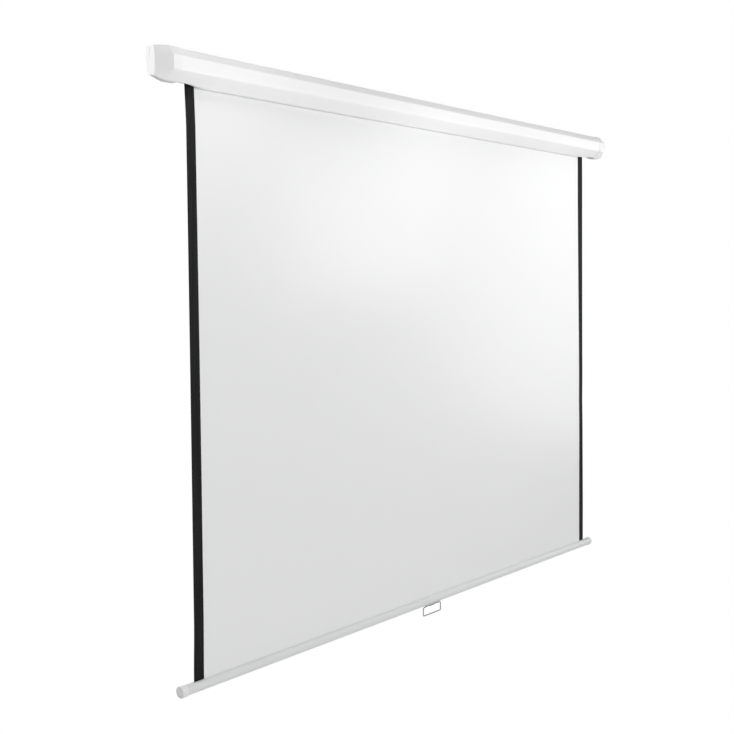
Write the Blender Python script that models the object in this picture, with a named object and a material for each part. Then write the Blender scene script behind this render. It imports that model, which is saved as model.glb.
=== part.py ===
"""Manual pull-down projector screen with a spring roller, for a wall.

Metres, +Z up, +X to the viewer's right, the wall at Y = 0 and the room at -Y.
The origin is on the back of the case, level with the roller's axis.
The sheet is fully down, and its weight bar hangs on it.
"""
import math

import bmesh
import bpy

# Sheet, measured over its dark side borders
SHEET_WIDTH = 1.756
SHEET_DROP = 1.318
SHEET_THICK = 0.0005
BORDER_WIDTH = 0.0255
SHEET_WAIST = 0.003
SHEET_BILLOW = 0.003
SHEET_COLUMNS = 24
SHEET_ROWS = 22

# Case: an eight-sided roll-formed shell, given by the places of its folds
CASE_DEPTH = 0.066
CASE_BEYOND_TUBE = 0.023
CASE_WALL = 0.0008
CASE_TOP_Z = 0.0338
CASE_BOTTOM_Z = -0.0360
FRONT_TOP_Z = 0.0142
FRONT_BOTTOM_Z = -0.0150
UPPER_CHAMFER_DEPTH = 0.018
LOWER_FACET_DEPTH = 0.0255
REAR_TOP_CHAMFER = 0.006
REAR_FACET_DEPTH = 0.023
REAR_FACET_TOP_Z = -0.0245

# Slot in the case's underside for the sheet
SHEET_TO_WALL = 0.019
SLOT_FRONT_GAP = 0.0195
SLOT_REAR_GAP = 0.0055
SLOT_LIP = 0.004

# Moulded end caps: a sleeve round the case, then a tapering nose
CAP_PROUD = 0.0015
CAP_SLEEVE = 0.030
CAP_SHOULDER_INSET = 0.002
NOSE_LENGTH = 0.0312
NOSE_FRONT = 0.0224
NOSE_BACK = 0.0536
NOSE_MIDDLE = 0.0445
NOSE_TOP_Z = 0.0337
NOSE_BOTTOM_Z = -0.0343
NOSE_MIDDLE_BOTTOM_Z = -0.0283
NOSE_REAR_BOTTOM_Z = -0.0218
NOSE_WALL = 0.0024
NOSE_END_WALL = 0.005
NOSE_CORNER = 0.004
SLEEVE_CORNER = 0.0012
CORNER_STEPS = 2
HANG_SLOT_WIDTH = 0.0045
HANG_SLOT_HEIGHT = 0.025
HANG_SLOT_DEPTH = 0.003
HANG_SLOT_FROM_FRONT = 0.038
HANG_SLOT_Z = 0.0165

# Side plates that carry the roller, inside the ends of the case
PLATE_THICK = 0.002
PLATE_END_INSET = 0.0005
PLATE_LIP_CLEARANCE = 0.0013
PLATE_TAB_LENGTH = 0.018
PLATE_TAB_WIDTH = 0.029
PLATE_TAB_BACK = 0.0175

# Screws through the cap, the case and the plate's tab
SCREW_SHANK_R = 0.0016
SCREW_HEAD_R = 0.0033
SCREW_HEAD_H = 0.0018
SCREW_LENGTH = 0.008
SCREW_FROM_END = 0.013
SCREW_SPACING = 0.016

# Roller
TUBE_R = 0.0175
TUBE_WALL = 0.0012
TUBE_BEYOND_SHEET = 0.042
WOUND_TURNS = 2.5
FABRIC_LAYER = 0.0004
PLUG_SPIGOT = 0.022
PLUG_FLANGE = 0.003
PLUG_FLANGE_R = 0.0168

# Spring, its shaft and the ratchet at the right end
SHAFT_R = 0.003
SPEAR_WIDTH = 0.0026
SPEAR_HEIGHT = 0.0052
SPEAR_LENGTH = 0.0125
SPEAR_OUTSIDE = 0.006
SPRING_INNER_R = 0.0076
SPRING_OUTER_R = 0.0102
SPRING_LENGTH = 0.3877
ANCHOR_LENGTH = 0.0445
SHAFT_IN_ANCHOR = 0.038
COLLAR_LENGTH = 0.010
COLLAR_R = 0.0095
BUSH_WALL = 0.0022
BUSH_PROUD = 0.0005
CUP_DEPTH = 0.010
CUP_WALL = 0.0018
CUP_FLOOR = 0.002
RATCHET_R = 0.007
RATCHET_WIDTH = 0.005
RATCHET_NOTCH_DEPTH = 0.0024
RATCHET_NOTCH_WIDTH = 0.0032
PAWL_PIVOT_Y = -0.0095
PAWL_PIVOT_Z = 0.0080
PAWL_BOSS_R = 0.0022
PAWL_PIN_R = 0.001
PAWL_WIDTH = 0.006
PAWL_OPEN_DEG = 15.0
PAWL_TOOTH_GAP = 0.0004

# Idle end
IDLE_PIN_R = 0.003
IDLE_PIN_COLLAR_R = 0.005
IDLE_PIN_COLLAR = 0.003
IDLE_PIN_HEAD_R = 0.0045
IDLE_PIN_HEAD = 0.002
IDLE_PIN_DEPTH = 0.020

# Weight bar
BAR_R = 0.0117
BAR_WALL = 0.001
BAR_SLOT = 0.0022
BAR_BELOW_DROP = 0.010
BAR_CAP_BEYOND_SHEET = 0.041
BAR_CAP_LENGTH = 0.016
BAR_CAP_R = 0.013
BAR_CAP_ROUND = 0.0015
BAR_CAP_SPIGOT = 0.020
BAR_CAP_POCKET_WIDTH = 0.014
BAR_CAP_POCKET_HEIGHT = 0.017
BAR_CAP_POCKET_DEPTH = 0.004
HEM_ROD_R = 0.003

# Pull handle: a closed wire loop, its top side arched, in a clip under the bar
HANDLE_X = 0.005
HANDLE_WIDTH = 0.081
HANDLE_HEIGHT = 0.0252
HANDLE_ARCH = 0.0015
HANDLE_WIRE_R = 0.0015
HANDLE_CORNER = 0.0035
CLIP_SHORTER_THAN_HANDLE = 0.013
CLIP_THICK = 0.0012
CLIP_HALF_ANGLE_DEG = 34.0
CLIP_BARREL_LENGTH = 0.020
CLIP_BARREL_WALL = 0.0011
WIRE_UNDER_CLIP = 0.0006
RIVET_FROM_CLIP_END = 0.007
RIVET_R = 0.0014
RIVET_HEAD_R = 0.0026
RIVET_HEAD = 0.0007
RIVET_TAIL = 0.0012

# Clearances and facets
GAP = 0.0003
BORE_CLEARANCE = 0.0003
WIRE_CLEARANCE = 0.0004
ROUND = 32
ROUND_SMALL = 16
CUT_MARGIN = 0.002

# Places that follow from the sizes above
SHEET_HALF = SHEET_WIDTH / 2
TUBE_HALF_LENGTH = SHEET_HALF + TUBE_BEYOND_SHEET
CASE_HALF_LENGTH = TUBE_HALF_LENGTH + CASE_BEYOND_TUBE
BAR_CAP_OUTER = SHEET_HALF + BAR_CAP_BEYOND_SHEET
SHEET_Y = -SHEET_TO_WALL
FRONT_Y = -CASE_DEPTH
CAP_EDGE_X = CASE_HALF_LENGTH + CAP_SHOULDER_INSET + GAP
CAP_OUTER_X = CAP_EDGE_X + NOSE_LENGTH
SLEEVE_INNER_X = CAP_EDGE_X - CAP_SLEEVE
SHOULDER_X = CASE_HALF_LENGTH + GAP
PLATE_OUT_X = CASE_HALF_LENGTH - PLATE_END_INSET
PLATE_IN_X = PLATE_OUT_X - PLATE_THICK
WOUND_IN_R = TUBE_R + GAP
WOUND_OUT_R = WOUND_IN_R + WOUND_TURNS * FABRIC_LAYER
ROLLER_Y = SHEET_Y - SHEET_THICK / 2 - GAP - WOUND_OUT_R
TUBE_BORE_R = TUBE_R - TUBE_WALL
SPIGOT_R = TUBE_BORE_R - GAP
SHAFT_BORE_R = SHAFT_R + BORE_CLEARANCE
BUSH_R = SHAFT_BORE_R + BUSH_WALL
CUP_BORE_R = BUSH_R + GAP
CUP_BASE_X = TUBE_HALF_LENGTH + GAP
CUP_FLOOR_X = CUP_BASE_X + CUP_FLOOR
CUP_RIM_X = CUP_FLOOR_X + CUP_DEPTH
PAWL_X = CUP_FLOOR_X + GAP + BUSH_PROUD
SPIGOT_END_X = CUP_BASE_X - PLUG_SPIGOT
COLLAR_X = SPIGOT_END_X - GAP - COLLAR_LENGTH
SPRING_END_X = COLLAR_X - GAP
SPRING_START_X = SPRING_END_X - SPRING_LENGTH
ANCHOR_END_X = SPRING_START_X - GAP
SHAFT_START_X = ANCHOR_END_X - SHAFT_IN_ANCHOR
SHEET_TOP_Z = 0.0
VISIBLE_TOP_Z = CASE_BOTTOM_Z + 0.002
BAR_Z = VISIBLE_TOP_Z - SHEET_DROP - BAR_BELOW_DROP
BAR_BORE_R = BAR_R - BAR_WALL
HEM_ROD_Z = BAR_Z + BAR_BORE_R - GAP - HEM_ROD_R
SHEET_BOTTOM_Z = HEM_ROD_Z + HEM_ROD_R + GAP
BAR_HALF_LENGTH = BAR_CAP_OUTER - BAR_CAP_LENGTH - GAP
CLIP_INNER_R = BAR_R + GAP
CLIP_OUTER_R = CLIP_INNER_R + CLIP_THICK
CLIP_LENGTH = HANDLE_WIDTH - CLIP_SHORTER_THAN_HANDLE
HANDLE_Z = BAR_Z - CLIP_OUTER_R - WIRE_UNDER_CLIP - HANDLE_WIRE_R


def clear_scene():
    for obj in list(bpy.data.objects):
        bpy.data.objects.remove(obj, do_unlink=True)


def make_material(name, colour, roughness, metallic=0.0):
    mat = bpy.data.materials.new(name)
    mat.use_nodes = True
    shader = mat.node_tree.nodes["Principled BSDF"]
    shader.inputs["Base Color"].default_value = (*colour, 1.0)
    shader.inputs["Roughness"].default_value = roughness
    shader.inputs["Metallic"].default_value = metallic
    mat.diffuse_color = (*colour, 1.0)
    return mat


def make_object(name, bm, mat, parent=None, origin=(0.0, 0.0, 0.0), smooth_deg=None):
    """Turn a bmesh, given in world places, into an object whose origin is at the given point."""
    for vert in bm.verts:
        for axis in range(3):
            vert.co[axis] -= origin[axis]
    bmesh.ops.recalc_face_normals(bm, faces=bm.faces)
    mesh = bpy.data.meshes.new(name)
    bm.to_mesh(mesh)
    bm.free()
    if smooth_deg is not None:
        mesh.shade_smooth()
        mesh.set_sharp_from_angle(angle=math.radians(smooth_deg))
    if mat is not None:
        mesh.materials.append(mat)
    obj = bpy.data.objects.new(name, mesh)
    bpy.context.scene.collection.objects.link(obj)
    if parent is None:
        obj.location = origin
    else:
        obj.parent = parent
        obj.location = [origin[axis] - parent.location[axis] for axis in range(3)]
    return obj


def make_empty(name, location):
    empty = bpy.data.objects.new(name, None)
    empty.location = location
    bpy.context.scene.collection.objects.link(empty)
    return empty


def hide_cutter(cutter):
    cutter.hide_render = True
    cutter.display_type = "WIRE"


def combine(obj, other, operation):
    """Cut or join another closed mesh with an exact Boolean that stays on the object."""
    hide_cutter(other)
    mod = obj.modifiers.new(operation.title() + " " + other.name, "BOOLEAN")
    mod.operation = operation
    mod.object = other


def loft(sections):
    """Closed solid through rings of equal point count, each a list of (x, y, z)."""
    bm = bmesh.new()
    rings = [[bm.verts.new(point) for point in ring] for ring in sections]
    count = len(rings[0])
    for first, second in zip(rings, rings[1:]):
        for i in range(count):
            j = (i + 1) % count
            bm.faces.new((first[i], first[j], second[j], second[i]))
    bm.faces.new(rings[0])
    bm.faces.new(list(reversed(rings[-1])))
    return bm


def prism_x(outline, x_start, x_end):
    """Outline of (y, z) points extruded along X."""
    return loft([[(x, y, z) for y, z in outline] for x in (x_start, x_end)])


def box(low, high):
    outline = [(low[1], low[2]), (high[1], low[2]), (high[1], high[2]), (low[1], high[2])]
    return prism_x(outline, low[0], high[0])


def turned(profile, centre, axis="X", steps=ROUND):
    """Solid of revolution from a closed profile of (distance along the axis, radius).

    A profile that starts and ends at radius 0 is solid; any other profile is a ring.
    """
    bm = bmesh.new()
    solid = profile[0][1] == 0.0
    rings = []
    for along, radius in profile:
        if radius == 0.0:
            ring = [bm.verts.new(axis_point(along, 0.0, 0.0, centre, axis))] * steps
        else:
            ring = []
            for i in range(steps):
                angle = 2.0 * math.pi * i / steps
                u = radius * math.cos(angle)
                v = radius * math.sin(angle)
                ring.append(bm.verts.new(axis_point(along, u, v, centre, axis)))
        rings.append(ring)
    pairs = list(zip(rings, rings[1:]))
    if not solid:
        pairs.append((rings[-1], rings[0]))
    for first, second in pairs:
        for i in range(steps):
            j = (i + 1) % steps
            corners = []
            for vert in (first[i], first[j], second[j], second[i]):
                if vert not in corners:
                    corners.append(vert)
            if len(corners) > 2:
                bm.faces.new(corners)
    return bm


def axis_point(along, u, v, centre, axis):
    if axis == "X":
        return (along, centre[0] + u, centre[1] + v)
    return (centre[0] + u, centre[1] + v, along)


def rod(start, end, radius, centre, axis="X", steps=ROUND_SMALL):
    return turned([(start, 0.0), (start, radius), (end, radius), (end, 0.0)], centre, axis, steps)


def screw_hole(low, high, place):
    """Upright clearance hole for a cap screw, between two heights."""
    return rod(low, high, SCREW_SHANK_R + BORE_CLEARANCE, place, "Z")


def offset_outline(outline, distances):
    """Move each edge of a closed outline outwards by its own distance and meet the edges again.

    The outline runs clockwise in (y, z), so its outside is on the left. Edge i runs from
    point i to point i + 1.
    """
    count = len(outline)
    lines = []
    for i in range(count):
        y0, z0 = outline[i]
        y1, z1 = outline[(i + 1) % count]
        length = math.hypot(y1 - y0, z1 - z0)
        dy, dz = (y1 - y0) / length, (z1 - z0) / length
        lines.append((y0 - dz * distances[i], z0 + dy * distances[i], dy, dz))
    points = []
    for i in range(count):
        y0, z0, dy0, dz0 = lines[i - 1]
        y1, z1, dy1, dz1 = lines[i]
        cross = dy0 * dz1 - dz0 * dy1
        t = ((y1 - y0) * dz1 - (z1 - z0) * dy1) / cross
        points.append((y0 + dy0 * t, z0 + dz0 * t))
    return points


def rounded(outline, radius):
    """Replace each corner by a short arc, always with the same number of points."""
    count = len(outline)
    points = []
    for i in range(count):
        py, pz = outline[i - 1]
        cy, cz = outline[i]
        ny, nz = outline[(i + 1) % count]
        back = math.hypot(py - cy, pz - cz)
        ahead = math.hypot(ny - cy, nz - cz)
        cut = min(radius, 0.45 * back, 0.45 * ahead)
        start = (cy + (py - cy) * cut / back, cz + (pz - cz) * cut / back)
        end = (cy + (ny - cy) * cut / ahead, cz + (nz - cz) * cut / ahead)
        for step in range(CORNER_STEPS + 1):
            t = step / CORNER_STEPS
            a, b, c = (1 - t) ** 2, 2 * t * (1 - t), t ** 2
            points.append((a * start[0] + b * cy + c * end[0], a * start[1] + b * cz + c * end[1]))
    return points


def rear_facet_z(y):
    """Height of the case's sloping rear underside at a given depth."""
    share = (y + REAR_FACET_DEPTH) / REAR_FACET_DEPTH
    return CASE_BOTTOM_Z + share * (REAR_FACET_TOP_Z - CASE_BOTTOM_Z)


def case_octagon():
    """The case's eight folds, clockwise from the front end of the flat underside."""
    return [
        (FRONT_Y + LOWER_FACET_DEPTH, CASE_BOTTOM_Z),
        (FRONT_Y, FRONT_BOTTOM_Z),
        (FRONT_Y, FRONT_TOP_Z),
        (FRONT_Y + UPPER_CHAMFER_DEPTH, CASE_TOP_Z),
        (-REAR_TOP_CHAMFER, CASE_TOP_Z),
        (0.0, CASE_TOP_Z - REAR_TOP_CHAMFER),
        (0.0, REAR_FACET_TOP_Z),
        (-REAR_FACET_DEPTH, CASE_BOTTOM_Z),
    ]


def grown_octagon(amount, back):
    """The case's outline grown by an amount, with its own value for the flat back."""
    distances = [amount] * 8
    distances[5] = back
    return offset_outline(case_octagon(), distances)


def case_shell(mat):
    """Sheet-metal shell, open along the sheet's slot, with a folded lip on each slot edge."""
    slot_front = SHEET_Y - SLOT_FRONT_GAP
    slot_rear = SHEET_Y + SLOT_REAR_GAP
    folds = case_octagon()
    path = [(slot_front, CASE_BOTTOM_Z + SLOT_LIP), (slot_front, CASE_BOTTOM_Z)]
    path += folds[:7]
    path += [(slot_rear, rear_facet_z(slot_rear)), (slot_rear, rear_facet_z(slot_rear) + SLOT_LIP)]
    inner = inner_path(path, CASE_WALL)
    shell = make_object("case_shell", prism_x(path + inner[::-1], -CASE_HALF_LENGTH, CASE_HALF_LENGTH), mat)
    for index, (x, y) in enumerate(screw_places()):
        hole = screw_hole(CASE_TOP_Z - CUT_MARGIN, CASE_TOP_Z + CUT_MARGIN, (x, y))
        combine(shell, make_object("cut_shell_%d" % index, hole, None), "DIFFERENCE")
    return shell


def inner_path(path, wall):
    """An open path moved to its right by a wall, mitred at its folds."""
    normals = []
    for (y0, z0), (y1, z1) in zip(path, path[1:]):
        length = math.hypot(y1 - y0, z1 - z0)
        normals.append(((z1 - z0) / length, -(y1 - y0) / length))
    points = []
    for i, (y, z) in enumerate(path):
        before = normals[max(i - 1, 0)]
        after = normals[min(i, len(normals) - 1)]
        ny, nz = before[0] + after[0], before[1] + after[1]
        scale = wall * 2.0 / (ny * ny + nz * nz)
        points.append((y + ny * scale, z + nz * scale))
    return points


def screw_places():
    """The four cap screws, two at each end, as (x, y)."""
    middle = -PLATE_TAB_BACK - PLATE_TAB_WIDTH / 2
    x = CASE_HALF_LENGTH - SCREW_FROM_END
    return [(side * x, middle + end * SCREW_SPACING / 2) for side in (-1, 1) for end in (-1, 1)]


def nose_face():
    """The small flat end of a cap, its eight corners matching the case's eight folds."""
    front = FRONT_Y + NOSE_FRONT
    back = FRONT_Y + NOSE_BACK
    return [
        (front + NOSE_CORNER / 2, NOSE_BOTTOM_Z),
        (front, FRONT_BOTTOM_Z),
        (front, FRONT_TOP_Z),
        (front + NOSE_CORNER / 2, NOSE_TOP_Z),
        (back - NOSE_CORNER / 2, NOSE_TOP_Z),
        (back, NOSE_TOP_Z - NOSE_CORNER / 2),
        (back, NOSE_REAR_BOTTOM_Z),
        (FRONT_Y + NOSE_MIDDLE, NOSE_MIDDLE_BOTTOM_Z),
    ]


def end_cap(name, side, mat):
    """Moulded cap: a sleeve open to the wall round the case, then a hollow tapering nose."""
    sleeve = rounded(grown_octagon(CAP_PROUD, 0.0), SLEEVE_CORNER)
    nose = rounded(nose_face(), NOSE_CORNER)
    rings = []
    for x, ring in ((SLEEVE_INNER_X, sleeve), (CAP_EDGE_X, sleeve), (CAP_OUTER_X, nose)):
        rings.append([(side * x, y, z) for y, z in ring])
    cap = make_object(name, loft(rings), mat, smooth_deg=32)

    pocket = grown_octagon(GAP, CUT_MARGIN)
    outline = prism_x(pocket, side * (SLEEVE_INNER_X - CUT_MARGIN), side * SHOULDER_X)
    combine(cap, make_object("cut_sleeve_" + name, outline, None), "DIFFERENCE")

    inner_edge = offset_outline(case_octagon(), [-NOSE_WALL] * 8)
    inner_nose = offset_outline(nose_face(), [-NOSE_WALL] * 8)
    hollow = [
        [(side * (SHOULDER_X - CUT_MARGIN), y, z) for y, z in inner_edge],
        [(side * CAP_EDGE_X, y, z) for y, z in inner_edge],
        [(side * (CAP_OUTER_X - NOSE_END_WALL), y, z) for y, z in inner_nose],
    ]
    combine(cap, make_object("cut_nose_" + name, loft(hollow), None), "DIFFERENCE")

    slot_y = FRONT_Y + HANG_SLOT_FROM_FRONT
    half_y = HANG_SLOT_WIDTH / 2
    half_z = HANG_SLOT_HEIGHT / 2
    low = (side * (CAP_OUTER_X - HANG_SLOT_DEPTH), slot_y - half_y, HANG_SLOT_Z - half_z)
    high = (side * (CAP_OUTER_X + CUT_MARGIN), slot_y + half_y, HANG_SLOT_Z + half_z)
    combine(cap, make_object("cut_slot_" + name, box(low, high), None), "DIFFERENCE")

    for index, (x, y) in enumerate(screw_places()):
        if x * side > 0:
            top = CASE_TOP_Z + CAP_PROUD
            hole = screw_hole(top - CUT_MARGIN, top + CUT_MARGIN, (x, y))
            combine(cap, make_object("cut_screw_%s_%d" % (name, index), hole, None), "DIFFERENCE")
    return cap


def cap_screw(name, x, y, mat):
    """Dome-headed screw, pressed home on the top of a sleeve."""
    seat = CASE_TOP_Z + CAP_PROUD + GAP
    profile = [
        (seat - SCREW_LENGTH, 0.0),
        (seat - SCREW_LENGTH, SCREW_SHANK_R * 0.5),
        (seat - SCREW_LENGTH + SCREW_SHANK_R, SCREW_SHANK_R),
        (seat, SCREW_SHANK_R),
        (seat, SCREW_HEAD_R),
        (seat + SCREW_HEAD_H * 0.5, SCREW_HEAD_R * 0.93),
        (seat + SCREW_HEAD_H, SCREW_HEAD_R * 0.5),
        (seat + SCREW_HEAD_H, 0.0),
    ]
    return make_object(name, turned(profile, (x, y), "Z", ROUND_SMALL), mat, smooth_deg=40)


def side_plate(name, side, mat):
    """Steel plate across the case's end with a bent tab under its top for the cap's screws."""
    clear = -(CASE_WALL + GAP)
    below = -(SLOT_LIP + PLATE_LIP_CLEARANCE)
    outline = offset_outline(case_octagon(), [clear, clear, clear, clear, clear, clear, below, below])
    plate = make_object(name, prism_x(outline, side * PLATE_IN_X, side * PLATE_OUT_X), mat)
    top = CASE_TOP_Z - CASE_WALL - GAP
    low = (side * (PLATE_IN_X - PLATE_TAB_LENGTH), -PLATE_TAB_BACK - PLATE_TAB_WIDTH, top - PLATE_THICK)
    high = (side * (PLATE_OUT_X - PLATE_THICK / 2), -PLATE_TAB_BACK, top)
    combine(plate, make_object("join_tab_" + name, box(low, high), None), "UNION")
    for index, (x, y) in enumerate(screw_places()):
        if x * side > 0:
            hole = screw_hole(top - PLATE_THICK - CUT_MARGIN, top + CUT_MARGIN, (x, y))
            combine(plate, make_object("cut_tab_%s_%d" % (name, index), hole, None), "DIFFERENCE")
    reach = (side * (PLATE_IN_X - CUT_MARGIN), side * (PLATE_OUT_X + CUT_MARGIN))
    if side < 0:
        hole = rod(reach[0], reach[1], IDLE_PIN_R + BORE_CLEARANCE, (ROLLER_Y, 0.0))
    else:
        half_y = SPEAR_WIDTH / 2 + BORE_CLEARANCE
        half_z = SPEAR_HEIGHT / 2 + BORE_CLEARANCE
        hole = box((reach[0], ROLLER_Y - half_y, -half_z), (reach[1], ROLLER_Y + half_y, half_z))
    combine(plate, make_object("cut_pin_" + name, hole, None), "DIFFERENCE")
    return plate


def idle_pin(mat):
    """Headed steel pin in the left plate that the idle plug turns on."""
    head_x = -(PLATE_OUT_X + GAP)
    collar_x = -(PLATE_IN_X - GAP)
    profile = [
        (-(TUBE_HALF_LENGTH - IDLE_PIN_DEPTH), 0.0),
        (-(TUBE_HALF_LENGTH - IDLE_PIN_DEPTH), IDLE_PIN_R),
        (collar_x + IDLE_PIN_COLLAR, IDLE_PIN_R),
        (collar_x + IDLE_PIN_COLLAR, IDLE_PIN_COLLAR_R),
        (collar_x, IDLE_PIN_COLLAR_R),
        (collar_x, IDLE_PIN_R),
        (head_x, IDLE_PIN_R),
        (head_x, IDLE_PIN_HEAD_R),
        (head_x - IDLE_PIN_HEAD, IDLE_PIN_HEAD_R),
        (head_x - IDLE_PIN_HEAD, 0.0),
    ]
    return make_object("idle_pin", turned(profile, (ROLLER_Y, 0.0), steps=ROUND_SMALL), mat, smooth_deg=40)


def spring_shaft(mat):
    """Fixed round shaft, its outer end forged to a flat spear that can't turn in the plate."""
    spear_x = PLATE_OUT_X + SPEAR_OUTSIDE
    round_end = spear_x - SPEAR_LENGTH
    shaft = rod(SHAFT_START_X, round_end, SHAFT_R, (ROLLER_Y, 0.0))
    obj = make_object("spring_shaft", shaft, mat, smooth_deg=40)
    low = (round_end - SHAFT_R, ROLLER_Y - SPEAR_WIDTH / 2, -SPEAR_HEIGHT / 2)
    high = (spear_x, ROLLER_Y + SPEAR_WIDTH / 2, SPEAR_HEIGHT / 2)
    combine(obj, make_object("join_spear", box(low, high), None), "UNION")
    return obj


def ring(name, start, end, inner, outer, mat, parent=None, steps=ROUND):
    profile = [(start, inner), (start, outer), (end, outer), (end, inner)]
    origin = tuple(parent.location) if parent else (0.0, 0.0, 0.0)
    return make_object(name, turned(profile, (ROLLER_Y, 0.0), steps=steps), mat, parent, origin, 40)


def ratchet_wheel(mat):
    """Small wheel fixed on the shaft, with two notches for the pawls."""
    start = PAWL_X
    profile = [
        (start, SHAFT_BORE_R), (start, RATCHET_R),
        (start + RATCHET_WIDTH, RATCHET_R), (start + RATCHET_WIDTH, SHAFT_BORE_R),
    ]
    wheel = make_object("ratchet_wheel", turned(profile, (ROLLER_Y, 0.0)), mat, smooth_deg=40)
    for side in (-1, 1):
        low = (start - CUT_MARGIN, ROLLER_Y + side * RATCHET_R, -RATCHET_NOTCH_WIDTH / 2)
        high = (
            start + RATCHET_WIDTH + CUT_MARGIN,
            ROLLER_Y + side * (RATCHET_R - RATCHET_NOTCH_DEPTH),
            RATCHET_NOTCH_WIDTH / 2,
        )
        outward = (low[0], low[1] + side * CUT_MARGIN, low[2])
        combine(wheel, make_object("cut_notch_%d" % side, box(outward, high), None), "DIFFERENCE")
    return wheel


def pawl_carrier(mat, roller):
    """Plug in the tube's right end, with a cup outside it that holds the ratchet and pawls."""
    profile = [
        (SPIGOT_END_X, CUP_BORE_R),
        (SPIGOT_END_X, SPIGOT_R),
        (CUP_BASE_X, SPIGOT_R),
        (CUP_BASE_X, PLUG_FLANGE_R),
        (CUP_RIM_X, PLUG_FLANGE_R),
        (CUP_RIM_X, PLUG_FLANGE_R - CUP_WALL),
        (CUP_FLOOR_X, PLUG_FLANGE_R - CUP_WALL),
        (CUP_FLOOR_X, CUP_BORE_R),
    ]
    origin = tuple(roller.location)
    carrier = make_object("pawl_carrier", turned(profile, (ROLLER_Y, 0.0)), mat, roller, origin, 40)
    for turn in (1, -1):
        centre = (ROLLER_Y + turn * PAWL_PIVOT_Y, turn * PAWL_PIVOT_Z)
        hole = rod(CUP_BASE_X - GAP, CUP_FLOOR_X + CUT_MARGIN, PAWL_PIN_R + BORE_CLEARANCE, centre)
        cutter = make_object("cut_pin_seat_%d" % turn, hole, None, roller, origin)
        combine(carrier, cutter, "DIFFERENCE")
    return carrier


def pawl_pin(name, turn, mat, roller):
    """Pin seated in the cup's floor that a pawl turns on."""
    centre = (ROLLER_Y + turn * PAWL_PIVOT_Y, turn * PAWL_PIVOT_Z)
    pin = rod(CUP_BASE_X, PAWL_X + PAWL_WIDTH + GAP, PAWL_PIN_R, centre)
    return make_object(name, pin, mat, roller, tuple(roller.location), 40)


def pawl(name, turn, open_deg, mat, roller):
    """Swinging pawl: a boss on its pin and an arm whose tooth rides on the ratchet's rim."""
    tooth_y = 0.0015
    tooth_z = math.sqrt((RATCHET_R + PAWL_TOOTH_GAP) ** 2 - tooth_y ** 2)
    arm = [
        (PAWL_PIVOT_Y, PAWL_PIVOT_Z + PAWL_BOSS_R),
        (tooth_y + 0.001, PAWL_PIVOT_Z + 0.003),
        (tooth_y + 0.0013, PAWL_PIVOT_Z + 0.001),
        (tooth_y, tooth_z),
        (tooth_y - 0.0025, PAWL_PIVOT_Z + 0.0008),
        (PAWL_PIVOT_Y, PAWL_PIVOT_Z - PAWL_BOSS_R * 0.7),
    ]
    steps = 10
    boss = []
    for i in range(steps + 1):
        angle = math.radians(-115.0 - 150.0 * i / steps)
        y = PAWL_PIVOT_Y + PAWL_BOSS_R * math.cos(angle)
        boss.append((y, PAWL_PIVOT_Z + PAWL_BOSS_R * math.sin(angle)))
    outline = boss + arm[1:5]
    opened = math.radians(open_deg)
    placed = []
    for y, z in outline:
        dy, dz = y - PAWL_PIVOT_Y, z - PAWL_PIVOT_Z
        ry = PAWL_PIVOT_Y + dy * math.cos(opened) - dz * math.sin(opened)
        rz = PAWL_PIVOT_Z + dy * math.sin(opened) + dz * math.cos(opened)
        placed.append((ROLLER_Y + turn * ry, turn * rz))
    centre = (ROLLER_Y + turn * PAWL_PIVOT_Y, turn * PAWL_PIVOT_Z)
    origin = (PAWL_X, centre[0], centre[1])
    body = make_object(name, prism_x(placed, PAWL_X, PAWL_X + PAWL_WIDTH), mat, roller, origin)
    hole = rod(PAWL_X - CUT_MARGIN, PAWL_X + PAWL_WIDTH + CUT_MARGIN, PAWL_PIN_R + BORE_CLEARANCE, centre)
    combine(body, make_object("cut_boss_" + name, hole, None, roller, origin), "DIFFERENCE")
    return body


def idle_plug(mat, roller):
    """Plug in the tube's left end that turns on the idle pin."""
    bore = IDLE_PIN_R + BORE_CLEARANCE
    profile = [
        (-SPIGOT_END_X, bore), (-SPIGOT_END_X, SPIGOT_R), (-CUP_BASE_X, SPIGOT_R),
        (-CUP_BASE_X, PLUG_FLANGE_R), (-CUP_BASE_X - PLUG_FLANGE, PLUG_FLANGE_R),
        (-CUP_BASE_X - PLUG_FLANGE, bore),
    ]
    plug = turned(profile, (ROLLER_Y, 0.0))
    return make_object("idle_plug", plug, mat, roller, tuple(roller.location), 40)


def shaft_bush(mat, roller):
    """Bearing between the carrier and the fixed shaft."""
    outer_x = CUP_FLOOR_X + BUSH_PROUD
    profile = [
        (SPIGOT_END_X, SHAFT_BORE_R), (SPIGOT_END_X, BUSH_R), (outer_x, BUSH_R), (outer_x, SHAFT_BORE_R),
    ]
    bush = turned(profile, (ROLLER_Y, 0.0))
    return make_object("shaft_bush", bush, mat, roller, tuple(roller.location), 40)


def sheet_half_width(z):
    """Half the sheet's width at a height: the free edges draw in a little between bar and case."""
    share = (SHEET_TOP_Z - z) / (SHEET_TOP_Z - SHEET_BOTTOM_Z)
    return SHEET_HALF - SHEET_WAIST * math.sin(math.pi * share)


def sheet_billow(x, z):
    """How far the hanging sheet stands off its plane: long shallow waves, none at its two held edges."""
    share = (SHEET_TOP_Z - z) / (SHEET_TOP_Z - SHEET_BOTTOM_Z)
    across = x / SHEET_WIDTH
    wave = math.cos(2.0 * math.pi * (1.5 * across - 0.6 * share))
    return -SHEET_BILLOW * math.sin(math.pi * share) * wave


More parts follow.
